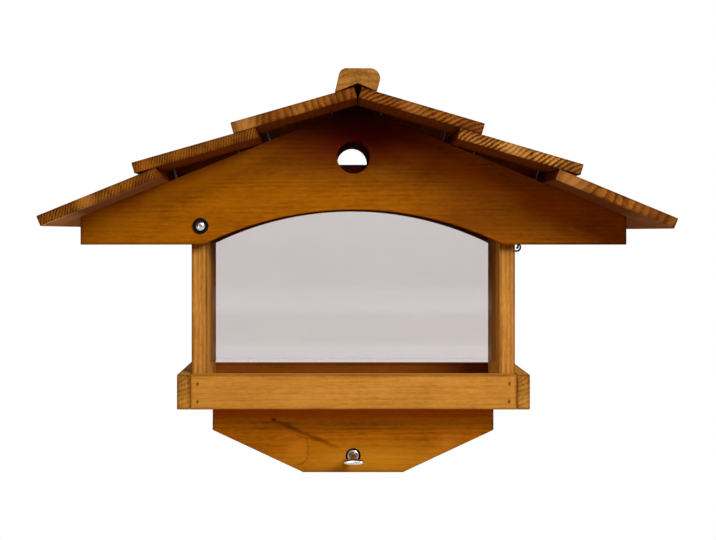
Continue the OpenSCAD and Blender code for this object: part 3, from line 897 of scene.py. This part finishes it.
def shank_rings(low, high, axis):
    """The wing screw's neck, and its thread, which grows and fades over a turn at either end."""
    def thread_at(y):
        height = max(0, min(1, (high.y - y) / THREAD_PITCH, (y - low.y - NECK_LEN) / THREAD_PITCH))

        def radius(angle):
            turn = (y / THREAD_PITCH - angle / (2 * math.pi)) % 1
            return SHANK_R - THREAD_DEPTH * (1 - height * (1 - abs(2 * turn - 1)))
        return radius

    rings = [turned_ring(axis, low.y + back, radius, SHANK_POINTS) for back, radius in NECK_SECTION]
    length = high.y - low.y - NECK_LEN
    steps = round(length / THREAD_PITCH * THREAD_RINGS)
    for k in range(steps + 1):
        y = low.y + NECK_LEN + length * k / steps
        rings.append(turned_ring(axis, y, thread_at(y), SHANK_POINTS))
    return rings


def wing_sections(low, high, axis):
    """Oval sections of the wings across X, with an ear on either side."""
    sections = []
    for k in range(-WING_SECTIONS, WING_SECTIONS + 1):
        share = math.sin(k / WING_SECTIONS * math.pi / 2)
        fullness = max(0.0, 1 - share ** WING_BLUNTNESS) ** 0.5 * (1 - TIP_LEFT) + TIP_LEFT
        ear = math.exp(-((abs(share) - EAR_PLACE) / EAR_WIDTH) ** 2)
        depth = WING_DEPTH / 2 * (1 - EAR_DEPTH + EAR_DEPTH * ear) * min(1, fullness * TIP_DEEPENING)
        thick = WING_THICK / 2 * fullness * (1 - TIP_THINNING * share ** 2)
        back = WING_DEPTH / 2 + EAR_LEAD * (1 - ear)
        x = axis[0] + share * (high.x - low.x) / 2
        y = low.y + back
        sections.append([(x, y + depth * math.cos(angle), axis[1] + thick * math.sin(angle))
                         for angle in angles(WING_POINTS)])
    return sections


def make_wing_screw(material):
    """A threaded shank with a smooth neck, and two cast wings that are thick in the middle."""
    low, high, axis = lengthwise("wing_screw")
    for piece in (lofted("wing_screw_shank", shank_rings(low, high, axis)),
                  lofted("wing_screw_wings", wing_sections(low, high, axis))):
        stand_for(piece, "wing_screw")
        dress(piece, material, "zinc_steel")


def make_insert(material):
    """The threaded sleeve that the wing screw runs in, with its rounded collar."""
    low, _, axis = lengthwise("clamp_insert")
    rings = [turned_ring(axis, low.y + back, radius, INSERT_POINTS) for radius, back in INSERT_SECTION]
    sleeve = lofted("insert_sleeve", rings, closed=True)
    stand_for(sleeve, "clamp_insert")
    dress(sleeve, material, "zinc_steel")


def make_metal():
    """Bright screws, dull roof nails, a dark latch and washers, and rusty brads."""
    zinc = metal("zinc_steel", srgb(232, 232, 232), rough=0.2)
    dark = metal("dark_steel", srgb(30, 33, 35), rough=0.28)
    nails = metal("nail_steel", srgb(132, 134, 138), rough=0.4)
    rusty = metal("rusty_steel", srgb(104, 66, 36), rough=0.5)
    dress(eased("roof_nails", *STEEL_EASE), nails, "zinc_steel")
    dress(eased("pivot_screws", *STEEL_EASE), zinc, "zinc_steel")
    for node, outward in (("bracket_screws", Y_AXIS), ("floor_screws", Z_AXIS),
                          ("ridge_screws", Z_AXIS)):
        piece = eased(node, *STEEL_EASE)
        cut_crosses(piece, node, outward)
        dress(piece, zinc, "zinc_steel")
    make_insert(zinc)
    make_wing_screw(zinc)
    dress(eased("pivot_washers", *WASHER_EASE), dark, "dark_steel")
    for node in ("latch_ring", "hook_pin", "latch_hook"):
        dress(eased(node, *STEEL_EASE), dark, "dark_steel")
    dress(eased("rail_brads", *STEEL_EASE), rusty, "dark_steel")


# Studio

# The lights: name, place, what it faces, size, power and tint
LIGHTS = (
    ("key", (1.4, -2.1, 1.5), (0, 0, 0.25), (1.6, 1.2), 98, (1, 1, 1)),
    ("fill", (-1.6, -1.8, 1.8), (0, 0, 0.2), (1.2, 0.8), 8, (1, 0.6, 0.36)),
    ("top", (0.1, 0.5, 2.2), (0, 0, 0.2), (1.8, 1.8), 5, (1, 1, 1)),
    ("back", (-0.6, 1.8, 2.4), (0, 0, 0.2), (1.2, 1.0), 22, (1, 1, 1)),
)

# The room's light: warm and dim on dull pieces. Shiny ones mirror a room that is bright above
# the camera, between these shares of facing that way, and dim behind the feeder.
WARM = (1, 0.32, 0.14, 1)
AMBIENT = 0.085
MIRRORED = 1.3
BRIGHT_SIDE = (0, -0.6, 0.8)
BRIGHT_FROM = 0.54
BRIGHT_TO = 0.95

# The floor, and the roughness and gloss of all that lies flat
FLOOR_HALF = 40
FLOOR_DULL = {"Base_Color": (0.12, 0.055, 0.025, 1)}
GROUND_ROUGH = 0.8
GROUND_GLOSS = 0.1

# Strips of paper on the floor, which the front pane mirrors as bands: name, near and far edge.
# Then half their width, how high any sheet lies, and the strips' dull side.
PAPERS = (("paper_near", -1.17, -1.43), ("paper_far", -2.53, -4.14))
PAPER_HALF = 3
PAPER_RISE = 0.0005
PAPER_DULL = {"Base_Color": (0.3, 0.3, 0.3, 1), "Emission_Color": WHITE, "Emission_Strength": 0.33}

# The sheet in front of the feeder: its corners, its dull side, and how shiny pieces mirror it
FRONT_LOW = (-1.2, -1.1)
FRONT_HIGH = (1.2, -0.04)
FRONT_DULL = {"Base_Color": (0.34, 0.17, 0.07, 1)}
FRONT_MIRRORED = 0.8


def area_light(name, place, aim, size, power, tint):
    data = bpy.data.lights.new(name, "AREA")
    data.color = tint
    data.shape = "RECTANGLE"
    data.size, data.size_y = size
    data.energy = power
    lamp = add_object(name, data)
    lamp.location = place
    lamp.rotation_euler = (Vector(aim) - Vector(place)).to_track_quat("-Z", "Y").to_euler()


def choose(tree, ray, special, usual):
    """One shader for a kind of ray, and another one for all others."""
    path = tree.nodes.new("ShaderNodeLightPath")
    mix = tree.nodes.new("ShaderNodeMixShader")
    tree.links.new(path.outputs[ray], mix.inputs[0])
    tree.links.new(usual, mix.inputs[1])
    tree.links.new(special, mix.inputs[2])
    return mix.outputs[0]


def add_ground(name, low, high, rise, dull, mirrored=None):
    """A flat sheet between two corners that looks white, and lights the scene as something dull.

    mirrored is how bright it is in shiny pieces, where that isn't what its dull side gives.
    """
    mesh = bpy.data.meshes.new(name)
    corners = ((low[0], low[1]), (high[0], low[1]), (high[0], high[1]), (low[0], high[1]))
    mesh.from_pydata([(x, y, rise) for x, y in corners], [], [(0, 1, 2, 3)])
    sheet = add_object(name, mesh)
    shader = Shader(name)
    shader.set(Roughness=GROUND_ROUGH, Specular_IOR_Level=GROUND_GLOSS, **dull)
    white = shader.add("Emission")
    usual = shader.surface.outputs[0]
    if mirrored:
        bright = shader.add("Emission")
        bright.inputs["Strength"].default_value = mirrored
        usual = choose(shader.tree, "Is Glossy Ray", bright.outputs[0], usual)
    shader.feed(shader.output.inputs["Surface"],
                choose(shader.tree, "Is Camera Ray", white.outputs[0], usual))
    mesh.materials.append(shader.material)


def background(tree, tint, strength=1.0):
    node = tree.nodes.new("ShaderNodeBackground")
    node.inputs["Color"].default_value = tint
    node.inputs["Strength"].default_value = strength
    return node


def make_room():
    """White to the camera, warm and dim to dull pieces, and brighter on one side to shiny ones."""
    world = bpy.data.worlds.new("studio")
    world.use_nodes = True
    bpy.context.scene.world = world
    tree = world.node_tree
    tree.nodes.clear()
    coords = tree.nodes.new("ShaderNodeTexCoord")
    facing = tree.nodes.new("ShaderNodeVectorMath")
    facing.operation = "DOT_PRODUCT"
    facing.inputs[1].default_value = BRIGHT_SIDE
    tree.links.new(coords.outputs["Generated"], facing.inputs[0])
    strength = tree.nodes.new("ShaderNodeMapRange")
    strength.inputs["From Min"].default_value = BRIGHT_FROM
    strength.inputs["From Max"].default_value = BRIGHT_TO
    strength.inputs["To Min"].default_value = AMBIENT / 2
    strength.inputs["To Max"].default_value = MIRRORED
    tree.links.new(facing.outputs["Value"], strength.inputs["Value"])
    shiny = background(tree, WHITE)
    tree.links.new(strength.outputs[0], shiny.inputs["Strength"])
    around = background(tree, WARM, AMBIENT)
    around = choose(tree, "Is Glossy Ray", shiny.outputs[0], around.outputs[0])
    seen = choose(tree, "Is Camera Ray", background(tree, WHITE).outputs[0], around)
    output = tree.nodes.new("ShaderNodeOutputWorld")
    tree.links.new(seen, output.inputs["Surface"])
    bpy.context.scene.view_settings.view_transform = "Standard"


def make_studio():
    add_ground("floor", (-FLOOR_HALF, -FLOOR_HALF), (FLOOR_HALF, FLOOR_HALF), 0, FLOOR_DULL)
    for name, near, far in PAPERS:
        add_ground(name, (-PAPER_HALF, far), (PAPER_HALF, near), PAPER_RISE, PAPER_DULL)
    add_ground("paper_front", FRONT_LOW, FRONT_HIGH, PAPER_RISE, FRONT_DULL, FRONT_MIRRORED)
    for light in LIGHTS:
        area_light(*light)
    make_room()


# Camera

# The photograph's width, the pixels that it looks straight at and that lie in its middle, and
# the camera that sees the feeder as it does, level and along Y
IMAGE_W = 716
PRINCIPAL_POINT = (335, 232)
IMAGE_CENTRE = (358, 270)
FOCAL_PIXELS = 1279
SENSOR_MM = 36
CAMERA_PLACE = (-0.0182, -1.321, 0.242)
LEVEL = (math.radians(90), 0, 0)


def make_camera():
    data = bpy.data.cameras.new("camera")
    data.sensor_width = SENSOR_MM
    data.lens = FOCAL_PIXELS / IMAGE_W * SENSOR_MM
    data.shift_x = (IMAGE_CENTRE[0] - PRINCIPAL_POINT[0]) / IMAGE_W
    data.shift_y = (PRINCIPAL_POINT[1] - IMAGE_CENTRE[1]) / IMAGE_W
    camera = add_object("camera", data)
    camera.location = CAMERA_PLACE
    camera.rotation_euler = LEVEL
    bpy.context.scene.camera = camera


make_camera()
make_studio()
make_boards()
make_panes()
make_metal()
make_dowels()
